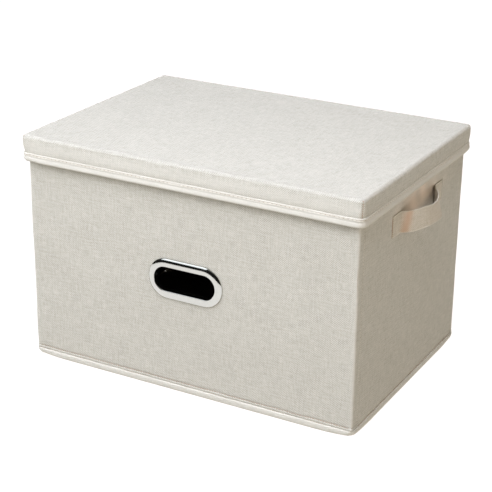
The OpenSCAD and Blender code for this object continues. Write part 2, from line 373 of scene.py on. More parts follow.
class Nodes:
    """A material's node tree, with short calls to add to it."""

    def __init__(self, name):
        self.material = bpy.data.materials.new(name)
        self.material.use_nodes = True
        self.tree = self.material.node_tree
        self.shader = self.tree.nodes["Principled BSDF"]

    def add(self, kind, inputs, **settings):
        made = self.tree.nodes.new("ShaderNode" + kind)
        for key, value in settings.items():
            setattr(made, key, value)
        for key, value in inputs.items():
            self.set(made, key, value)
        return made

    def set(self, made, key, value):
        if isinstance(value, bpy.types.NodeSocket):
            self.tree.links.new(value, made.inputs[key])
        else:
            made.inputs[key].default_value = value

    def math(self, operation, a, b=0.0):
        return self.add("Math", {0: a, 1: b}, operation=operation).outputs[0]

    def times(self, a, b):
        return self.math("MULTIPLY", a, b)

    def plus(self, a, b):
        return self.math("ADD", a, b)

    def sine(self, value, half_wave):
        return self.math("SINE", self.times(value, math.pi / half_wave))

    def mix(self, share, a, b):
        """A number between a and b."""
        return self.add("Mix", {0: share, 2: a, 3: b}, data_type="FLOAT").outputs[0]

    def colours(self, share, a, b):
        made = self.add("Mix", {0: share, 6: (*a, 1) if isinstance(a, tuple) else a,
                                7: (*b, 1) if isinstance(b, tuple) else b}, data_type="RGBA")
        return made.outputs[2]

    def uv(self):
        parts = self.add("SeparateXYZ", {0: self.add("UVMap", {}, uv_map="UVMap").outputs[0]})
        return parts.outputs[0], parts.outputs[1]

    def place(self):
        """The point's own place on the object, in metres."""
        return self.add("TexCoord", {}).outputs["Object"]

    def noise_at(self, vector, scale, detail=3.0, roughness=0.55):
        return self.add("TexNoise", {"Vector": vector, "Scale": scale, "Detail": detail,
                                     "Roughness": roughness}).outputs[0]

    def stretched(self, u, v, per_u, per_v, seed):
        """Noise with its own scale along each direction of the cloth."""
        vector = self.add("CombineXYZ", {0: self.times(u, per_u), 1: self.times(v, per_v), 2: seed})
        return self.noise_at(vector.outputs[0], 1.0, 2.0)

    def blotch(self, u, v, per_metre, seed):
        return self.spread(self.stretched(u, v, per_metre, per_metre, seed), 0.3, 0.7)

    def spread(self, value, low, high, to_low=0.0, to_high=1.0):
        return self.add("MapRange", {0: value, 1: low, 2: high, 3: to_low, 4: to_high}).outputs[0]

    def bump(self, height, depth, strength=1.0):
        made = self.add("Bump", {"Height": height, "Distance": depth, "Strength": strength})
        self.set(self.shader, "Normal", made.outputs[0])

    def wear_and_painted_light(self):
        return self.add("Attribute", {}, attribute_name="wear_and_painted_light").outputs["Fac"]

    def finish(self, colour, roughness, **fixed):
        self.set(self.shader, "Base Color", colour)
        self.set(self.shader, "Roughness", roughness)
        for key, value in fixed.items():
            self.shader.inputs[key.replace("_", " ")].default_value = value
        return self.material


def woven(name, light, dark, pitch, contrast=1.0, rubbed_and_lit=None, painted_light=None, depth=0.22 * MM):
    """Plain-woven cloth: warp over weft, uneven threads and faint blotches.
    A number on each point turns it towards its first extra colour above zero, for rubbed wear and painted
    light, and towards its second extra colour below zero, for painted light and shade."""
    nodes = Nodes(name)
    u, v = nodes.uv()
    across, upward = nodes.sine(u, pitch), nodes.sine(v, pitch)
    over = nodes.spread(nodes.times(across, upward), -0.3, 0.3)
    warp = nodes.times(nodes.math("ABSOLUTE", across), over)
    weft = nodes.times(nodes.math("ABSOLUTE", upward), nodes.math("SUBTRACT", 1.0, over))
    height = nodes.math("MAXIMUM", warp, weft)
    # Slubs run far along a thread, and change from thread to thread
    along, between = 60.0, 0.6 / pitch
    thread = nodes.mix(over, nodes.stretched(u, v, along, between, 7.0),
                       nodes.stretched(u, v, between, along, 1.0))
    thread = nodes.spread(thread, 0.33, 0.67)
    column, row = [nodes.math("FLOOR", nodes.math("DIVIDE", at, pitch)) for at in (u, v)]
    crossing = nodes.add("CombineXYZ", {0: column, 1: row}).outputs[0]
    grain = nodes.add("TexWhiteNoise", {"Vector": crossing}, noise_dimensions="2D").outputs[0]
    # How much each part turns the cloth from its dark tone to its light one
    share = -0.14
    for part, amount in ((thread, 0.30), (grain, 0.12 * contrast), (height, 0.34 * contrast),
                         (over, 0.44 * contrast), (nodes.blotch(u, v, 26.0, 3.0), 0.05)):
        share = nodes.plus(nodes.times(part, amount), share)
    colour = nodes.colours(share, dark, light)
    if rubbed_and_lit is not None:
        colour = nodes.colours(nodes.wear_and_painted_light(), colour, rubbed_and_lit)
    # Below zero the colour is painted light and shade: a warm glow in the shade behind the straps, and shade
    # along the lid's front edge and across the straps' bends.
    if painted_light is not None:
        colour = nodes.colours(nodes.times(nodes.wear_and_painted_light(), -1.0), colour, painted_light)
    nodes.bump(nodes.plus(height, nodes.times(grain, 0.35)), depth, 0.8)
    return nodes.finish(colour, nodes.spread(thread, 0, 1, 0.94, 0.82),
                        Sheen_Weight=0.05, Sheen_Roughness=0.5, Specular_IOR_Level=0.22)


def non_woven(name, light, dark):
    """Pressed-fibre lining with a fine dimpled emboss."""
    nodes = Nodes(name)
    u, v = nodes.uv()
    dimple = nodes.times(nodes.sine(u, 1.6 * MM), nodes.sine(v, 1.6 * MM))
    fibre = nodes.blotch(u, v, 700.0, 5.0)
    share = nodes.plus(nodes.times(fibre, 0.45), nodes.times(nodes.blotch(u, v, 18.0, 2.0), 0.4))
    nodes.bump(nodes.plus(nodes.times(dimple, 0.4), fibre), 0.1 * MM, 0.7)
    return nodes.finish(nodes.colours(share, dark, light), nodes.spread(fibre, 0, 1, 0.85, 0.97),
                        Specular_IOR_Level=0.2)


def pressed_board(name, light, dark):
    """Grey board: speckled fibres pressed flat, with darker flecks."""
    nodes = Nodes(name)
    place = nodes.place()
    fibre = nodes.noise_at(place, 900.0, 5.0, 0.7)
    cloud = nodes.noise_at(place, 30.0)
    fleck = nodes.spread(nodes.noise_at(place, 350.0, 1.0), 0.62, 0.72)
    colour = nodes.colours(nodes.spread(nodes.mix(0.4, fibre, cloud), 0.35, 0.65), dark, light)
    colour = nodes.colours(nodes.times(fleck, 0.5), colour, (0.10, 0.08, 0.06))
    nodes.bump(fibre, 0.15 * MM, 0.5)
    return nodes.finish(colour, nodes.spread(fibre, 0.3, 0.7, 0.75, 0.95), Specular_IOR_Level=0.3)


def polished_metal(name, colour):
    """Chrome plate, with the faintest haze and polishing marks."""
    nodes = Nodes(name)
    place = nodes.place()
    haze = nodes.noise_at(place, 160.0)
    tint = nodes.colours(nodes.spread(haze, 0.3, 0.7), tuple(0.96 * c for c in colour), colour)
    nodes.bump(nodes.noise_at(place, 90.0, 1.0), 0.02 * MM, 0.12)
    return nodes.finish(tint, nodes.spread(haze, 0.3, 0.7, 0.09, 0.13), Metallic=1.0)


def sewing_thread(name, light, dark):
    """Twisted thread: fine slanting ply lines along each stitch."""
    nodes = Nodes(name)
    place = nodes.place()
    ply = nodes.add("TexWave", {"Vector": place, "Scale": 900.0, "Distortion": 2.0},
                    bands_direction="DIAGONAL").outputs["Fac"]
    nodes.bump(ply, 0.06 * MM, 0.6)
    return nodes.finish(nodes.colours(ply, dark, light), nodes.spread(ply, 0, 1, 0.85, 0.6),
                        Sheen_Weight=0.1)


def linen(name, painted_light):
    return woven(name, (0.590, 0.550, 0.455), (0.240, 0.219, 0.170), 1.25 * MM,
                 rubbed_and_lit=(0.560, 0.525, 0.440), painted_light=painted_light)


# The linen's second colour is painted light: a lighter, warm glow in the shade behind each strap.
LINEN = linen("linen_cloth", (0.900, 0.750, 0.610))
# The lid's second colour is painted shade, laid along its front edge.
LID_LINEN = linen("lid_linen_cloth", (0.250, 0.235, 0.200))
# The strap's second colour paints shade across its bends, and a faint darker tint over its bow.
STRAP = woven("strap_cloth", (0.625, 0.565, 0.450), (0.300, 0.256, 0.190), 1.15 * MM,
              rubbed_and_lit=(0.640, 0.600, 0.500), painted_light=(0.470, 0.305, 0.195))
BINDING = woven("binding_tape", (0.590, 0.555, 0.470), (0.430, 0.395, 0.318), 0.55 * MM,
                contrast=0.8, depth=0.12 * MM)
LINING = non_woven("lining_cloth", (0.42, 0.40, 0.37), (0.34, 0.32, 0.29))
BOARD = pressed_board("grey_board", (0.42, 0.35, 0.26), (0.27, 0.22, 0.16))
CHROME = polished_metal("chrome_plate", (0.618, 0.622, 0.588))
THREAD = sewing_thread("cream_thread", (0.70, 0.65, 0.54), (0.46, 0.40, 0.30))
BROWN_THREAD = sewing_thread("brown_thread", (0.40, 0.262, 0.160), (0.25, 0.155, 0.095))


def dress(obj, material, slot, body, *nodes):
    """Gives a piece its material, the body it rides on and the CAD nodes it stands for. The slot is not used.
    """
    obj.data.materials.clear()
    obj.data.materials.append(material)
    if body is not None:
        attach(obj, body)
    if nodes:
        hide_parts(*nodes)
    return obj


# ---------- the body's linen ----------

# The cloth's turned-up edge above the bottom binding: its seam, and its row of stitches
HEM_SEAM = binding_top + 0.6 * MM
HEM_ROW = 12.6 * MM
HEM_PITCH = 3.4 * MM
# How far the grommet's hole in the cloth and the lining is wider than the grommet's opening
HOLE_GAP = 1.5 * MM


def hem_waver(place):
    return 0.35 * MM * ripple(place, 0.0, 28 * MM, 4.0)


def hem(place, z, turned):
    """How far the edge at the foot of the wall stands out or in.
    A turned edge has a row of stitches above it."""
    waver = hem_waver(place)
    band = ramp(z, HEM_SEAM, HEM_SEAM + 1 * MM) * fall(z, HEM_ROW + waver - 1 * MM, HEM_ROW + waver)
    row = 0.35 * MM * band - 0.55 * MM * bell(z, HEM_ROW + waver, 0.8 * MM)
    return turned * row - 0.3 * MM * bell(z, HEM_SEAM, 0.7 * MM)


def wall_offset(place, z, seed, turned=1.0):
    """The cloth's gentle unevenness and its hem."""
    wave = ripple(place, z, 75 * MM, seed) + 0.5 * ripple(place, z, 30 * MM, seed + 9)
    held = ramp(z, wall_z, 30 * MM) * fall(z, lid_z + 4 * MM, wall_top)
    return (0.30 * MM * wave - 0.05 * MM) * held + hem(place, z, turned)


def wall_rows(*fixed):
    foot = near([HEM_SEAM, HEM_ROW], 0.5 * MM, 1.1 * MM, 2 * MM)
    return lines(wall_z, wall_top, 5 * MM, HEM_SEAM, HEM_ROW, 20 * MM, *foot, *fixed)


def from_stadium(x, z, half_length, radius):
    """How far a point is outside a stadium shape at the grommet's height."""
    past = np.maximum(np.abs(x) - (half_length - radius), 0)
    return np.hypot(past, z - grommet_z) - radius


def cut_stadium(x, z, grow):
    """Leaves out the cells inside the grommet's hole, and brings the cut's points onto its edge."""
    half_length, radius = slot_half_w + grow, slot_half_h + grow
    middle_x = (x[1:, 1:] + x[:-1, :-1]) / 2
    middle_z = (z[1:, 1:] + z[:-1, :-1]) / 2
    keep = from_stadium(middle_x, middle_z, half_length, radius) > 0
    framed = np.pad(keep, 1, constant_values=True)
    around = np.stack([framed[1:, 1:], framed[:-1, 1:], framed[1:, :-1], framed[:-1, :-1]])
    edge = around.any(0) & ~around.all(0)
    spine = np.clip(x, radius - half_length, half_length - radius)
    away = np.hypot(x - spine, z - grommet_z)
    scale = radius / np.maximum(away, 0.1 * MM)
    x = np.where(edge, spine + (x - spine) * scale, x)
    z = np.where(edge, grommet_z + (z - grommet_z) * scale, z)
    return x, z, keep


def front_cloth():
    hole_rows = near([grommet_z], *[k * 3 * MM for k in range(1, 9)])
    corner = [side * (half_w + d * MM) for side in (-1, 1) for d in CORNER_STEPS]
    columns = lines(-CORNER_SPLIT, CORNER_SPLIT, 4 * MM, *corner)
    place, z = grid(columns, wall_rows(grommet_z, *hole_rows))
    place, z, keep = cut_stadium(place, z, HOLE_GAP)
    clear = ramp(from_stadium(place, z, ring_half_w, ring_half_h), -1 * MM, 12 * MM)
    offset = wall_offset(place, z, 1.0) * clear - 0.15 * MM * (1 - clear)
    # A small pucker in the hem, right of the middle
    lifted = 0.9 * MM * bell(place, 50 * MM, 5 * MM) * bell(z, HEM_ROW - 1 * MM, 2.2 * MM)
    points = round_body(place, z, offset + lifted)
    wear_and_painted_light = 0.5 * bell(np.abs(place), half_w, 2.5 * MM)
    cloth = closed_sheet("front_linen", points, fabric_t * 0.9, stack(place, z), keep, wear_and_painted_light=wear_and_painted_light)
    dress(cloth, LINEN, "linen", "front", "front_outer_fabric")


def blend_at_corner(obj, side, word):
    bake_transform(obj)


def corner_strip(side, word):
    """The soft corner between the front panel and a side panel's boards."""
    columns = lines(CORNER_SPLIT - 0.2 * MM, half_w + CORNER_ZONE, 1 * MM)
    place, z = grid(columns, wall_rows())
    points = round_body(place, z, wall_offset(place, z, 1.0) - 0.05 * MM)
    points[..., 0] *= side
    if side < 0:
        points, place, z = points[::-1], place[::-1], z[::-1]
    strip = closed_sheet(word + "_corner_linen", points, wall_t * 0.97, stack(side * place, z))
    dress(strip, LINEN, "linen", None, word + "_corner_gusset")
    blend_at_corner(strip, side, word)


def side_keep(columns, rows):
    """Leaves out the two slits that the strap passes through."""
    across = (columns[1:] + columns[:-1]) / 2
    up = (rows[1:] + rows[:-1]) / 2
    in_slit = np.minimum(np.abs(across - slit_front), np.abs(across - slit_rear)) < slit_half
    return ~(in_slit[:, None] & ((up > slit_low) & (up < slit_high))[None, :])


def side_columns():
    slits = near([slit_front, slit_rear], slit_half, slit_half + 1.5 * MM)
    folds = near([crease_y], 0.5 * MM, 1.2 * MM, 2.2 * MM, 4 * MM, 7 * MM)
    seams = [side_start + 0.7 * MM, side_start + 1.6 * MM, side_start + 3 * MM]
    return lines(side_start, side_end, 5 * MM, crease_y, *slits, *folds, *seams)


def side_linen(side, word):
    """One cloth over both halves of a side panel, with its pressed crease."""
    columns, rows = side_columns(), wall_rows(slit_low, slit_high, strap_z)
    y, z = grid(columns, rows)
    place = SIDE_MIDDLE + y
    pressed = 0.18 * MM * bell(y, crease_y, 0.9 * MM)
    seam = 0.5 * MM * bell(y, side_start + 0.9 * MM, 0.7 * MM)
    lip = sum(bell(y, slit, 2.4 * MM) for slit in (slit_front, slit_rear))
    lip = lip * ramp(z, slit_low - 4 * MM, slit_low) * fall(z, slit_high, slit_high + 4 * MM)
    turned = ramp(-y, -side_start - 8 * MM, -side_start)
    offset = wall_offset(place, z, 5.0 + side, turned) - pressed - seam + 0.3 * MM * lip
    points = round_body(place, z, offset)
    points[..., 0] *= side
    uv = stack(side * place, z)
    keep = side_keep(columns, rows)
    if side < 0:
        points, uv, keep = points[::-1], uv[::-1], keep[::-1]
    # The linen behind the strap is painted lighter and warmer: painted bounce light where the strap shades
    # the panel.
    painted_light = bell(y, (slit_front + slit_rear) / 2, 52 * MM) * bell(z, strap_z + 12 * MM, 17 * MM)
    painted_light = painted_light * (0.85 + 0.4 * ripple(y, z, 22 * MM, 40.0))
    wear_and_painted_light = 0.25 * bell(y, side_start - 8 * MM, 4 * MM) - np.clip(painted_light, 0, 1)
    cloth = closed_sheet(word + "_side_linen", points, fabric_t * 0.85, uv, keep, wear_and_painted_light=wear_and_painted_light[::side])
    dress(cloth, LINEN, "linen", None, word + "_front_fabric", word + "_rear_fabric")
    blend_at_crease(cloth, side, word)


def blend_at_crease(obj, side, word):
    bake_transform(obj)


def back_cloth():
    corner = [REAR_CORNER + d * MM for d in CORNER_STEPS]
    mirrored = [2 * HALF_TURN - place for place in corner]
    columns = lines(BACK_FROM, 2 * HALF_TURN - BACK_FROM, 4 * MM, *corner, *mirrored)
    place, z = grid(columns, wall_rows())
    points = round_body(place, z, wall_offset(place, z, 13.0))
    wear_and_painted_light = 0.5 * bell(from_front(place), REAR_CORNER, 2.5 * MM)
    cloth = closed_sheet("back_linen", points, fabric_t * 0.9, stack(place, z), wear_and_painted_light=wear_and_painted_light)
    dress(cloth, LINEN, "linen", "back", "back_outer_fabric")


# ---------- bottom ----------

# The bottom binding's section, from under the bin to its top edge:
# how far out of the wall, and how high
BINDING_SECTION = [(-5, 0.0), (-2, 0.0), (0, 0.2), (0.9, 0.8), (1.35, 1.9), (1.55, 3.4), (1.6, 5.2),
                   (1.5, 6.8), (1.2, 8.0), (0.6, 8.6), (0.0, 8.8)]


def binding_points(columns):
    """The bottom binding, which lifts and draws in a little at the corners."""
    out, up = np.array(BINDING_SECTION).T * MM
    out = out * binding_out / (1.6 * MM)
    low = 1 - up / up[-1]
    radius = np.minimum(corner_r + np.maximum(out, 0) + 5 * MM * low, 0.98 * CORNER_ZONE)
    place = columns[:, None]
    q = from_front(place)
    corner = bell(q, half_w, 22 * MM) + bell(q, REAR_CORNER, 22 * MM)
    waver = (0.25 * MM * ripple(place, 0.0, 24 * MM, 2.0)
             + 0.15 * MM * ripple(place, 0.0, 7 * MM, 6.0))
    points = round_body(place, up, out + waver * np.maximum(out, 0) / binding_out, radius)
    points[..., 2] += 2.6 * MM * corner * low + 0.5 * waver * (1 - low)
    return points, stack(place, run_along(out, up))


def binding_run(name, start, end, body, *nodes):
    """One run of the bottom binding."""
    columns = lines(start, end, 2 * MM, *near([half_w, -half_w, REAR_CORNER], 0, 1.5 * MM, 3 * MM))
    points, uv = binding_points(columns)
    piece = closed_sheet(name, points, 0.55 * MM, uv)
    return dress(piece, BINDING, "binding", body, *nodes)


def bottom_bindings():
    for word, start, end in PANELS:
        run = binding_run(word + "_bottom_binding", start, end, word, "bottom_binding_" + word)
    for side, word in SIDES:
        ends = sorted((side * SIDE_FROM, side * (SIDE_TO - 1.5 * MM)))
        run = binding_run(word + "_bottom_binding", *ends, None, "bottom_binding_" + word)
        blend_at_crease(run, side, word)
        ends = sorted((side * (CORNER_SPLIT - 0.2 * MM), side * SIDE_FROM))
        corner = binding_run(word + "_corner_binding", *ends, None)
        blend_at_corner(corner, side, word)


def bottom_cloth():
    """The cloth under the bin, drawn towards the front as the sides fold in."""
    x, y = grid(*[lines(-half + 4 * MM, half - 4 * MM, 12 * MM,
                        *near([half - 8 * MM, 8 * MM - half], 2 * MM)) for half in (half_w, half_d)])
    points = stack(x, y, 0.95 * MM + 0.1 * MM * ripple(x, y, 60 * MM, 8.0))
    # The cloth's corners are cut off
    beyond = (np.maximum(np.abs(x) - (half_w - 13 * MM), 0)
              + np.maximum(np.abs(y) - (half_d - 13 * MM), 0))
    keep = (beyond[1:, 1:] + beyond[:-1, :-1] + beyond[1:, :-1] + beyond[:-1, 1:]) / 4 < 14 * MM
    cloth = closed_sheet("bottom_cloth", points, 0.6 * MM, stack(x, y), keep)
    dress(cloth, LINING, "lining", "front", "bottom_fabric")
    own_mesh(cloth)


# ---------- linings and rim tapes ----------


def lining(name, facing, at, columns, rows, body, nodes, keep=None, cut=False):
    across, z = grid(columns, rows)
    if cut:
        across, z, keep = cut_stadium(across, z, HOLE_GAP)
    wave = 0.12 * MM * ripple(across, z, 45 * MM, at * 50)
    points = upright(facing, at - wave, across, z)
    piece = closed_sheet(name, points, lining_t * 0.8, stack(across, z), keep)
    dress(piece, LINING, "lining", body, *nodes)
    return piece


def linings():
    wide = half_w - fabric_t
    columns = lines(-wide, wide, 6 * MM, *near([0.0], *[k * 3 * MM for k in range(1, 16)]))
    rows = lines(wall_z, wall_top, 6 * MM, *near([grommet_z], *[k * 3 * MM for k in range(9)]))
    lining("front_inner_lining", (0, 1), -inner_y, columns, rows, "front", ["front_lining"],
           cut=True)
    lining("back_inner_lining", (0, -1), -inner_y, lines(-wide, wide, 6 * MM),
           lines(wall_z, wall_top, 6 * MM), "back", ["back_lining"])
    rows = lines(wall_z, wall_top, 6 * MM, slit_low, slit_high)
    for side, word in SIDES:
        columns = side_columns()
        keep = side_keep(columns, rows)
        across = -side * columns
        if side > 0:
            across, keep = across[::-1], keep[::-1]
        piece = lining(word + "_side_lining", (-side, 0), -inner_x, across, rows, None,
                       [word + "_front_lining", word + "_rear_lining"], keep)
        blend_at_crease(piece, side, word)


TAPE_DROP = 9 * MM
TAPE_OUT, TAPE_IN = 0.45 * MM, -wall_t - 0.35 * MM
# The rim tape's section, from its outer edge over the rim to its inner edge: out, and height
TAPE_SECTION = [(TAPE_OUT, wall_top - TAPE_DROP), (TAPE_OUT, wall_top - 4 * MM),
                (TAPE_OUT, wall_top - 0.5 * MM), (TAPE_OUT - 0.5 * MM, rim_z - 0.1 * MM),
                (-1.2 * MM, rim_z + 0.1 * MM), (-3 * MM, rim_z + 0.1 * MM),
                (TAPE_IN + 0.5 * MM, rim_z - 0.1 * MM), (TAPE_IN, wall_top - 0.5 * MM),
                (TAPE_IN, wall_top - 4 * MM), (TAPE_IN, wall_top - TAPE_DROP)]


def tape_run(name, start, end, body, *nodes):
    """Binding tape folded over the rim of a panel."""
    corners = [half_w, -half_w, REAR_CORNER, 2 * HALF_TURN - REAR_CORNER]
    columns = lines(start, end, 6 * MM, *near(corners, 0, 1.5 * MM, 3 * MM, 6 * MM))
    place = columns[:, None]
    q = from_front(place)
    to_corner = np.minimum(np.abs(q - half_w), np.abs(q - REAR_CORNER))
    out, up = np.array(TAPE_SECTION).T
    # At a corner the inner edge stays inside the rounding
    tight = np.maximum(out, -0.9 * corner_r)
    offset = out + (tight - out) * fall(to_corner, 5 * MM, 8 * MM)
    run = run_along(offset[0], up)
    piece = closed_sheet(name, round_body(place, up, offset), 0.3 * MM, stack(place, run))
    return dress(piece, BINDING, "binding", body, *nodes)


def rim_tapes():
    for word, start, end in PANELS:
        tape = tape_run(word + "_rim_binding", start, end, word, word + "_rim_tape")
    for side, word in SIDES:
        ends = sorted((side * SIDE_FROM, side * SIDE_TO))
        tape = tape_run(word + "_rim_binding", *ends, None, word + "_front_rim_tape",
                        word + "_rear_rim_tape")
        blend_at_crease(tape, side, word)


# ---------- grommet ----------


FLANGE_HEIGHT = 3.4 * MM


def ring_points(share, out, facing, face_y):
    """Points round the grommet, at shares of the way from its opening to its outer edge."""
    inner, outer = slot_half_w - slot_half_h, ring_half_w - ring_half_h
    straight = inner + share * (outer - inner)
    radius = slot_half_h + share * (ring_half_h - slot_half_h)
    right = np.linspace(-math.pi / 2, math.pi / 2, 48)[:, None]
    left = np.linspace(math.pi / 2, 3 * math.pi / 2, 48)[:, None]
    return np.concatenate([stack(side * straight + radius * np.cos(angle), face_y + facing * out,
                                 grommet_z + radius * np.sin(angle))
                           for side, angle in ((1.0, right), (-1.0, left))])


def domed_section(height, lip, crown):
    """A flange's section from its opening: a rolled lip, a flat and a long fall to its edge."""
    turn = np.linspace(0, math.pi / 2, 8)
    rolled = lip * (1 - np.cos(turn))
    fall_share = np.linspace(0, 1, 30)
    # The fall's slope steepens towards the edge
    slope = np.radians(np.interp(fall_share, [0, 0.12, 0.50, 0.92, 1], [0, 11, 22, 42, 76]))
    fallen = np.concatenate([[0], np.cumsum(np.tan((slope[1:] + slope[:-1]) / 2))])
    share = np.concatenate([rolled, [(lip + crown) / 2], crown + (1 - crown) * fall_share])
    rise = height * (1 - 0.3 * (1 - np.sin(turn)))
    return share, np.concatenate([rise, [height], height * (1 - 0.88 * fallen / fallen[-1])])


def grommet():
    depth = ring_high.y + half_d
    share, out = domed_section(FLANGE_HEIGHT, 0.10, 0.36)
    # The barrel lies just outside the opening, as a share of the flange's width
    barrel = 0.114
    share = np.concatenate([[0, 0], share, [1.0, 0.94, barrel, barrel]])
    out = np.concatenate([[-depth, 0.0], out, [0.1 * MM, -0.1 * MM, -0.1 * MM, -depth]])
    face = swept_loop("grommet_flange", ring_points(share, out, -1, -half_d)[:, ::-1])
    dress(face, CHROME, "chrome", "front", "grommet_face_ring")
    back_low, back_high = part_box("grommet_back_ring")
    share, out = domed_section(back_high.y - back_low.y, 0.10, 0.5)
    share = np.append(0.16 + share * 0.66, [0.80, 0.17])
    out = np.append(out, [0.0, 0.0])
    back = swept_loop("grommet_washer", ring_points(share, out, 1, back_low.y))
    dress(back, CHROME, "chrome", "front", "grommet_back_ring")


# ---------- handles ----------

# The strap seen from above: how far along the side, and how far it stands off it
STRAP_PATH = [(-66, -4.0), (-66, -1.0), (-64.5, 0.1), (-58, 0.15), (-51, 0.15), (-46, 0.8),
              (-42.5, 3.6), (-39, 7.6), (-33, 11.4), (-22, 15.8), (-8, 19.3), (8, 21.4),
              (21, 21.6), (32, 19.2), (42, 14.2), (50, 8.2), (55.5, 3.2), (60, 0.6), (67, 0.15),
              (76, 0.15), (82.5, 0.1), (84, -1.0), (84, -4.0)]
STRAP_T = 1.1 * MM
# The strap's points across its width, closer together at its rolled edges
STRAP_ROWS = np.array([-1, -0.985, -0.95, -0.90, -0.86, -0.80, -0.6, -0.3, 0,
                       0.3, 0.6, 0.80, 0.86, 0.90, 0.95, 0.985, 1])


def smooth_path(points, per_span=10):
    """A smooth curve through points, by Catmull-Rom spans."""
    points = np.array(points, float)
    ends = np.vstack([2 * points[0] - points[1], points, 2 * points[-1] - points[-2]])
    out = []
    for k in range(len(ends) - 3):
        a, b, c, d = ends[k:k + 4]
        for t in np.arange(per_span) / per_span:
            out.append(0.5 * (2 * b + (c - a) * t + (2 * a - 5 * b + 4 * c - d) * t * t
                              + (3 * b - a - 3 * c + d) * t ** 3))
    return np.array(out + [points[-1]])


def strap_half(side, word, end_word):
    """The part of a strap in front of the crease, or behind it."""
    path = smooth_path(STRAP_PATH) * MM
    run = run_along(*path.T)
    steps = np.arange(0, run[-1], 1.5 * MM)
    along = np.interp(steps, run, path[:, 0])
    forward = end_word == "front"
    edge = crease_y - 0.1 * MM if forward else crease_y + 0.1 * MM
    chosen = along < edge if forward else along > edge
    steps = np.sort(np.append(steps[chosen], np.interp(edge, along, steps)))[:, None]
    along, off = np.interp(steps, run, path[:, 0]), np.interp(steps, run, path[:, 1])
    up = STRAP_ROWS
    edge_roll = 0.22 * MM * (bell(np.abs(up), 0.955, 0.03) - bell(np.abs(up), 0.87, 0.025))
    wave = 0.25 * MM * ripple(steps, up * 0.01, 16 * MM, 3.0 + side) * ramp(off, 1.2 * MM, 6 * MM)
    away = half_w + 0.1 * MM + off * (1 - 0.05 * up) + edge_roll + wave + 0.5 * STRAP_T
    # The bow's rear part leans forward at its upper edge, which also sags more than its lower one
    y = along - (2 * MM + 7 * MM * up) * bell(along, 20 * MM, 26 * MM)
    droop = (1.2 * MM * bell(along, 14 * MM, 32 * MM)
             + 0.8 * MM * (1 + up) * bell(along, 18 * MM, 24 * MM))
    points = stack(side * away, y, strap_z + strap_half_h * up - droop)
    bend = -40 * MM + 2.5 * MM * up
    # Lighter rubbed edges, a darker warm band across each bend that is painted shade, and a faint darker warm
    # tint over the bow's middle.
    wear_and_painted_light = (0.55 * bell(np.abs(up), 0.96, 0.04) - 0.75 * bell(along, bend, 4.6 * MM)
            - 0.08 * bell(along, 12 * MM, 30 * MM))
    uv = stack(side * steps, strap_half_h * up)
    if side < 0:
        points, wear_and_painted_light, uv = points[::-1], wear_and_painted_light[::-1], uv[::-1]
    piece = closed_sheet(f"{word}_strap_{end_word}", points, STRAP_T, uv, wear_and_painted_light=wear_and_painted_light)
    dress(piece, STRAP, "strap", f"{word}_side_{end_word}", word + "_handle_strap")
    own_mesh(piece)


def strap_tab(side, word, end_word):
    """A strap's end, sewn down inside the bin with a crossed box of stitches."""
    low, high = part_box(f"{word}_handle_{end_word}_tab")
    face = low.x if side > 0 else -high.x
    columns = lines(low.y, high.y, 2 * MM)
    across = columns if side < 0 else -columns[::-1]
    across, z = grid(across, lines(low.z, high.z, 2 * MM))
    middle_y, middle_z = (low.y + high.y) / 2, (low.z + high.z) / 2
    y = -side * across
    inset = np.minimum(np.minimum(y - low.y, high.y - y), np.minimum(z - low.z, high.z - z))
    puffed = 0.25 * MM * ramp(inset, 0.0, 1 * MM) - 0.3 * MM * bell(inset, 4 * MM, 0.8 * MM)
    points = upright((-side, 0), -face - 0.25 * MM + puffed, across, z)
    tab = closed_sheet(f"{word}_{end_word}_strap_end", points, 0.8 * MM, stack(across, z))
    body = f"{word}_side_{end_word}"
    dress(tab, STRAP, "strap", body, f"{word}_handle_{end_word}_tab")
    # The stitches make a crossed box, set in from the tab's edges
    half_y, half_z = (high.y - low.y) / 2 - 4 * MM, (high.z - low.z) / 2 - 4 * MM
    corners = [(-half_y, -half_z), (half_y, -half_z), (half_y, half_z), (-half_y, half_z)]
    runs = [*zip(corners, corners[1:] + corners[:1]), corners[::2], corners[1::2]]
    middles, directions = [], []
    for a, b in runs:
        count = max(2, round(math.dist(a, b) / (3.2 * MM)))
        run_y, run_z = b[0] - a[0], b[1] - a[1]
        for k in range(count):
            t = (k + 0.5) / count
            at_y, at_z = middle_y + a[0] + run_y * t, middle_z + a[1] + run_z * t
            middles.append((side * face, at_y, at_z))
            directions.append((0, run_y, run_z))
    sewn = stitches(f"{word}_{end_word}_strap_stitches", middles, directions,
                    [(-side, 0, 0)] * len(middles), 2.4 * MM, 0.22 * MM)
    dress(sewn, THREAD, "strap", body)


def handles():
    for side, word in SIDES:
        # A brown thread down the front edge of each slit is painted shade: a dark line where the slit's
        # shadow falls.
        edge = (side * half_w, slit_front - slit_half, strap_z)
        slit_shade = stitches(word + "_slit_shade_line", [edge], [(0, 0, 1)], [(side, 0, 0)],
                         slit_high - slit_low, 0.5 * MM)
        dress(slit_shade, BROWN_THREAD, "linen", word + "_side_front")
        for end_word in ("front", "rear"):
            strap_half(side, word, end_word)
            strap_tab(side, word, end_word)


# ---------- folding base ----------


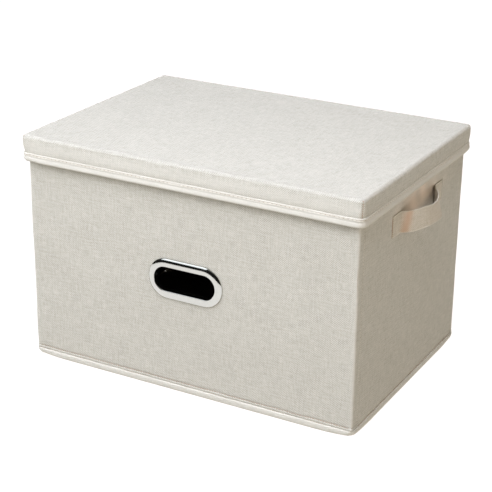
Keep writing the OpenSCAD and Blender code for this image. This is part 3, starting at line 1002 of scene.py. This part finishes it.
def base_cover():
    low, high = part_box("base_front_cover")
    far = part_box("base_rear_cover")[1].y
    columns = lines(low.x, high.x, 8 * MM, *near([low.x + 7 * MM, high.x - 7 * MM], 1 * MM, 0))
    rows = lines(low.y, far, 8 * MM, *near([base_crease_y], 0.6 * MM, 1.5 * MM, 3 * MM),
                 *near([low.y + 7 * MM, far - 7 * MM], 1 * MM, 0))
    x, y = grid(columns, rows)
    edge = np.minimum(np.minimum(x - low.x, high.x - x), np.minimum(y - low.y, far - y))
    dip = 0.3 * MM * bell(edge, 7 * MM, 0.9 * MM) + 0.5 * MM * bell(y, base_crease_y, 1.2 * MM)
    z = high.z - dip + 0.05 * MM * ripple(x, y, 50 * MM, 12.0)
    cover = closed_sheet("base_cloth", stack(x, y, z), (high.z - low.z) * 0.98, stack(x, y))
    dress(cover, LINING, "lining", None, "base_front_cover", "base_rear_cover")
    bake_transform(cover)


# ---------- lid ----------

LID_ZONE = 14 * MM
LID_EDGE = 4.2 * MM
# The lid's corners are rounder at the foot of its skirt than at its top
LID_RADIUS_LOW, LID_RADIUS_HIGH = 9 * MM, 5 * MM
# How far the lid's cloth puffs out over the edge of the board
LID_PUFF = 0.4 * MM
# How far in from the edge each row of the lid's top is, in millimetres
LID_TOP_STEPS = [1, 2, 3.5, 5, 7, 10, 14, 19, 26, 34, 43, 53, 64, 76, 89, 103, 118, 134, 148]


def lid_columns():
    """Places round the lid, the same to the left and the right, and closer at the corners."""
    half_x, half_y = lid_half
    corner = [k * 0.55 * MM for k in range(24)]
    quarter = lines(0.0, 2 * half_x + 2 * half_y, 5 * MM, half_x + half_y,
                    *near([half_x, half_x + 2 * half_y], *corner))
    return np.concatenate([-quarter[1:-1][::-1], quarter])


def lid_radius(z, knee, low, high):
    return low + (high - low) * ramp(z, lid_binding_top, knee - 6 * MM)


def lid_shell(inset, top_z, edge, radius_low, radius_high,
              bulge=0.0, uneven=0.0, seam=0.0, puff=0.0):
    """Rows of points up the lid's skirt, over its edge and in over its top, with their UVs.
    Gives the columns too, and the first row of the top."""
    half_x, half_y = half = lid_half[0] - inset, lid_half[1] - inset
    columns = lid_columns() * (half_x + half_y) / sum(lid_half)
    knee = top_z - edge
    q = np.abs(columns)
    to_corner = np.minimum(np.abs(q - half_x), np.abs(q - half_x - 2 * half_y))
    drawn_in = seam * bell(to_corner, 0, 0.8 * MM)
    rows, uv = [], []
    for z in lines(lid_z, knee, 1.5 * MM):
        share = np.clip((z - lid_binding_top) / (knee - lid_binding_top), 0, 1)
        swell = math.sin(math.pi * (0.25 + 0.75 * share)) * ramp(to_corner, 4 * MM, 40 * MM)
        wave = ripple(columns, z, 34 * MM, 21.0) * ramp(z, lid_z, lid_binding_top + 6 * MM)
        offset = puff * ramp(z, lid_binding_top - 2 * MM, lid_binding_top + 5 * MM)
        offset = offset + bulge * swell + uneven * wave - drawn_in
        line = outline(columns, half, lid_radius(z, knee, radius_low, radius_high), LID_ZONE)
        rows.append(moved_out(line, z, offset))
        uv.append(stack(columns, z))
    line = outline(columns, half, radius_high, LID_ZONE)
    for angle in np.linspace(0, math.pi / 2, 8)[1:]:
        wave = 0.25 * uneven * ripple(columns, angle * 0.02, 20 * MM, 5.0)
        offset = puff - edge * (1 - math.cos(angle)) + wave - drawn_in * math.cos(angle)
        rows.append(moved_out(line, knee + (puff + edge) * math.sin(angle), offset))
        uv.append(stack(columns, knee + edge * angle))
    first_top = len(rows) - 1
    rim_x, rim_y = rows[-1][:, 0], rows[-1][:, 1]
    wide, deep = half_x - edge, half_y - edge
    for share in np.array(LID_TOP_STEPS) * MM:
        x, y = rim_x * (wide - share) / wide, rim_y * (deep - share) / deep
        wave = 0.5 * uneven * ripple(x, y, 60 * MM, 15.0) * ramp(share, 0, 8 * MM)
        rows.append(stack(x, y, top_z + puff * bell(share, 0, 9 * MM) + wave))
        uv.append(rows[-1][:, :2])
    rows.append(stack(rim_x * (wide - deep) / wide, 0.0, top_z))
    uv.append(rows[-1][:, :2])
    return columns, np.stack(rows, 1), np.stack(uv, 1), first_top


def lid_sheet(name, thickness, shell, wear_and_painted_light=0.0):
    columns, points, uv, first_top = shell
    closing = uv[:1].copy()
    closing[..., 0] += 2 * columns[-1] + (columns[1] - columns[0])
    return closed_sheet(name, points, thickness, np.concatenate([uv, closing]), loop=True, wear_and_painted_light=wear_and_painted_light,
                        top=(first_top, points[..., :2]), weld=True)


def lid_cover():
    shell = lid_shell(0.0, lid_top, LID_EDGE, LID_RADIUS_LOW, LID_RADIUS_HIGH,
                      bulge=0.6 * MM, uneven=0.15 * MM, seam=0.7 * MM, puff=LID_PUFF)
    points, first_top = shell[1], shell[3]
    rows = np.arange(points.shape[1])
    # Along the front only: the skirt is painted lighter (painted light), and a band round the turn of its top
    # edge is painted darker (painted shade that tones down the edge's highlight).
    front = ramp(-points[..., 1], lid_half[1] - 9 * MM, lid_half[1] - 4 * MM)
    wear_and_painted_light = 0.3 * fall(rows, first_top - 12, first_top - 6) - 0.25 * bell(rows, first_top - 3, 2.5)
    cover = lid_sheet("lid_linen", 0.8 * MM, shell, front * wear_and_painted_light)
    dress(cover, LID_LINEN, "linen", "lid", "lid_top_fabric", "lid_skirt_fabric")


def lid_inner_lining():
    board_low, board_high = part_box("lid_skirt_board_right")
    inset = board_high.x - board_low.x + fabric_t
    shell = lid_shell(inset, lid_lining_top, 1 * MM, 5.5 * MM, 5.5 * MM)
    cloth = lid_sheet("lid_inner_lining", lining_t * 0.85, shell)
    dress(cloth, LINING, "lining", "lid", "lid_lining")


# The lid binding's section, from inside the skirt, under its edge and up to its top:
# how far out of the skirt, and how far up from its edge
LID_BINDING_SECTION = [(-4.7, 5.0), (-4.75, 2.5), (-4.6, 0.4), (-3.8, -0.4), (-2.0, -0.6),
                       (0.4, -0.6), (1.4, -0.2), (1.85, 0.7), (1.9, 2.0), (1.7, 3.6), (1.4, 5.2), (1.05, 6.2),
                       (1.25, 6.6), (1.35, 7.0), (1.3, 7.4), (1.0, 7.8), (0.95, 8.3), (1.0, 8.7),
                       (1.15, 9.0), (1.2, 9.5), (1.0, 10.1), (0.4, 10.4), (-0.8, 10.2)]
# The row of stitches round the lid: its height above the skirt's edge, and how far out it lies
LID_ROW, LID_ROW_OUT = 8.25 * MM, 1.05 * MM
STITCH_PITCH = 5.5 * MM


def lid_binding():
    half_turn = 2 * sum(lid_half)
    out, up = np.array(LID_BINDING_SECTION).T * MM
    count = round(2 * half_turn / (2 * MM))
    columns = np.arange(count) * 2 * half_turn / count - half_turn
    place = columns[:, None]
    waver = 0.22 * MM * ripple(place, 0.0, 20 * MM, 31.0)
    # The binding lifts a little at its front left and rear right corners
    lift = 2.2 * MM * (bell(place, -lid_half[0], 15 * MM)
                       + bell(place, lid_half[0] + 2 * lid_half[1], 15 * MM))
    z = lid_z + up + 0.4 * waver + lift * fall(up, 0, LID_ROW)
    points = moved_out(outline(place, lid_half, LID_RADIUS_LOW, LID_ZONE), z,
                       out + waver * np.clip(out / MM, 0, 1))
    uv = stack(np.append(columns, half_turn)[:, None], run_along(out, up))
    tape = closed_sheet("lid_edge_binding", points, 0.45 * MM, uv, loop=True)
    dress(tape, BINDING, "binding", "lid", "lid_binding")
    count = round(2 * half_turn / STITCH_PITCH)
    places = (np.arange(count) + 0.5) * 2 * half_turn / count - half_turn
    z = lid_z + LID_ROW
    line = outline(places, lid_half, LID_RADIUS_LOW, LID_ZONE)
    sewn = stitch_row("lid_binding_stitches", line, z, LID_ROW_OUT, 3.6 * MM, 0.36 * MM)
    dress(sewn, THREAD, "binding", "lid")
    # Short brown threads between the stitches are painted shade, standing for the dark of the needle holes.
    line = outline(places + STITCH_PITCH / 2, lid_half, LID_RADIUS_LOW, LID_ZONE)
    hole_shade = stitch_row("lid_needle_hole_shade", line, z, LID_ROW_OUT - 0.2 * MM, 1.4 * MM, 0.32 * MM)
    dress(hole_shade, BROWN_THREAD, "binding", "lid")


def lid_corner_seams():
    """The seam up each corner of the lid, with a knot at its top."""
    half_x, half_y = lid_half
    corners = np.array([half_x, half_x + 2 * half_y, -half_x, -half_x - 2 * half_y])
    knee = lid_top - LID_EDGE
    heights = np.arange(lid_binding_top + 1.5 * MM, knee + 1 * MM, 2.6 * MM)
    middles, facing = [], []
    for z in np.append(heights, knee + 2.6 * MM):
        sunk = 0.4 * MM if z < knee + 2 * MM else 0.9 * MM
        radius = lid_radius(z, knee, LID_RADIUS_LOW, LID_RADIUS_HIGH)
        line = outline(corners, lid_half, radius, LID_ZONE)
        middles += list(moved_out(line, z, -sunk))
        facing += list(stack(*line[2:], 0.0))
    seam = stitches("lid_corner_stitches", middles, [(0, 0, 1)] * len(middles), facing,
                    2 * MM, 0.5 * MM)
    dress(seam, BROWN_THREAD, "linen", "lid")


# ---------- seams' stitches ----------


def hem_stitches(name, start, end, height, body, length=2.2 * MM, proud=-0.1 * MM):
    """A row of brown stitches along the foot of a wall."""
    count = max(1, round((end - start) / HEM_PITCH))
    places = start + (np.arange(count) + 0.5) * (end - start) / count
    line = outline(places, (half_w, half_d), corner_r)
    sewn = stitch_row(name, line, height + hem_waver(places), proud, length, 0.3 * MM)
    dress(sewn, BROWN_THREAD, "linen", body)


def seam_stitches():
    back_from = SIDE_TO + 14 * MM
    crease = SIDE_MIDDLE + crease_y
    hem_stitches("front_hem_stitches", -half_w + 4 * MM, half_w - 4 * MM, HEM_ROW, "front")
    hem_stitches("front_seam_stitches", -half_w, half_w, HEM_SEAM, "front")
    hem_stitches("back_hem_stitches", back_from, 2 * HALF_TURN - back_from, HEM_ROW, "back")
    for side, word in SIDES:
        for end_word, a, b in (("front", SIDE_FROM + 4 * MM, crease - 4 * MM),
                               ("rear", crease + 4 * MM, SIDE_TO - 3 * MM)):
            hem_stitches(f"{word}_{end_word}_seam_stitches", *sorted((side * a, side * b)),
                         HEM_SEAM + 0.2 * MM, f"{word}_side_{end_word}", 3.3 * MM, 0.0)
        middles = [(side * (half_w - 0.15 * MM), side_start + 0.9 * MM, z)
                   for z in np.arange(HEM_ROW + 6 * MM, lid_z + 10 * MM, 4 * MM)]
        count = len(middles)
        sewn = stitches(word + "_corner_stitches", middles, [(0, 0, 1)] * count,
                        [(side, 0, 0)] * count, 2.2 * MM, 0.24 * MM)
        dress(sewn, THREAD, "linen", word + "_side_front")


def boards():
    """The boards keep their CAD shape."""
    for name, obj in frame["nodes"].items():
        if "board" in name:
            obj.data.materials.clear()
            obj.data.materials.append(BOARD)


# ---------- camera, light and floor ----------

# The photograph's viewpoint, as angles about the bin and a distance from it
VIEW_AZIMUTH, VIEW_ELEVATION, VIEW_ROLL = 28.83, 22.10, 0.59
VIEW_DISTANCE = 1.8131
VIEW_LENS = 103.4
VIEW_TARGET = Vector((-0.0044, 0, 0.1391))


def camera():
    azimuth, elevation = math.radians(VIEW_AZIMUTH), math.radians(VIEW_ELEVATION)
    level = Vector((math.sin(azimuth), -math.cos(azimuth), 0))
    back = level * math.cos(elevation) + Vector((0, 0, math.sin(elevation)))
    right = (-back).cross(Vector((0, 0, 1))).normalized()
    up = back.cross(right)
    turn = Matrix((right, up, back)).transposed() @ Matrix.Rotation(math.radians(VIEW_ROLL), 3, "Z")
    data = bpy.data.cameras.new("camera")
    data.lens = VIEW_LENS
    data.sensor_width = 36
    data.clip_start, data.clip_end = 0.05, 100
    obj = link("camera", data)
    obj.matrix_world = Matrix.Translation(VIEW_TARGET + back * VIEW_DISTANCE) @ turn.to_4x4()
    bpy.context.scene.camera = obj


def softbox(name, place, target, size, power, colour, mirrored=False):
    """A rectangular lamp. Only a mirrored one shows in the chrome."""
    data = bpy.data.lights.new(name, "AREA")
    data.shape = "RECTANGLE"
    data.size, data.size_y = size
    data.energy = power
    data.color = colour
    obj = link(name, data)
    obj.location = place
    obj.rotation_euler = (Vector(target) - Vector(place)).to_track_quat("-Z", "Y").to_euler()
    obj.visible_glossy = mirrored


def studio_sky():
    """A dim room: dark near the horizon and paler overhead."""
    world = bpy.data.worlds.new("studio")
    world.use_nodes = True
    bpy.context.scene.world = world
    tree = world.node_tree
    coordinates = tree.nodes.new("ShaderNodeTexCoord")
    parts = tree.nodes.new("ShaderNodeSeparateXYZ")
    tree.links.new(coordinates.outputs["Generated"], parts.inputs[0])
    blend = tree.nodes.new("ShaderNodeValToRGB")
    tones = ((0.50, (0.012, 0.012, 0.012, 1)), (0.95, (0.42, 0.42, 0.41, 1)))
    for stop, (position, colour) in zip(blend.color_ramp.elements, tones):
        stop.position, stop.color = position, colour
    tree.links.new(parts.outputs[2], blend.inputs[0])
    tree.links.new(blend.outputs[0], tree.nodes["Background"].inputs["Color"])
    tree.nodes["Background"].inputs["Strength"].default_value = 1.0


def floor():
    """A pale lit table, wide enough to fill every view."""
    mesh = bpy.data.meshes.new("floor")
    corners = [(-14, -14, 0), (14, -14, 0), (14, 14, 0), (-14, 14, 0)]
    mesh.from_pydata(corners, [], [(0, 1, 2, 3)])
    obj = link("floor", mesh)
    material = bpy.data.materials.new("floor")
    material.use_nodes = True
    inputs = material.node_tree.nodes["Principled BSDF"].inputs
    for key, value in (("Base Color", (0.08, 0.08, 0.08, 1)), ("Roughness", 1.0),
                       ("Specular IOR Level", 0.0), ("Emission Color", (1.0, 0.97, 0.95, 1)),
                       ("Emission Strength", 1.03)):
        inputs[key].default_value = value
    obj.data.materials.append(material)


def lights():
    """Soft lamps above, in front on the left and on the right, and a dim card for the chrome."""
    softbox("key", (0.0, -0.80, 1.85), (0, 0, 0.2), (1.3, 1.3), 70, (0.775, 0.826, 1.0))
    softbox("card", (-0.90, -1.33, 1.49), (0, -0.16, 0.14), (1.2, 1.2), 8, (0.90, 0.94, 1.0), True)
    softbox("strip", (-1.45, -2.35, 1.75), (0, 0, 0.15), (1.6, 0.9), 50, (0.75, 0.84, 1.0))
    softbox("fill", (2.5, -0.9, 1.35), (0, 0, 0.2), (1.2, 1.2), 21, (1.0, 0.89, 0.74))


camera()
studio_sky()
floor()
lights()
bpy.context.scene.view_settings.view_transform = "Standard"

front_cloth()
for side, word in SIDES:
    corner_strip(side, word)
for side, word in SIDES:
    side_linen(side, word)
back_cloth()
bottom_bindings()
bottom_cloth()
linings()
rim_tapes()
grommet()
handles()
base_cover()
lid_cover()
lid_inner_lining()
lid_binding()
lid_corner_seams()
seam_stitches()
boards()
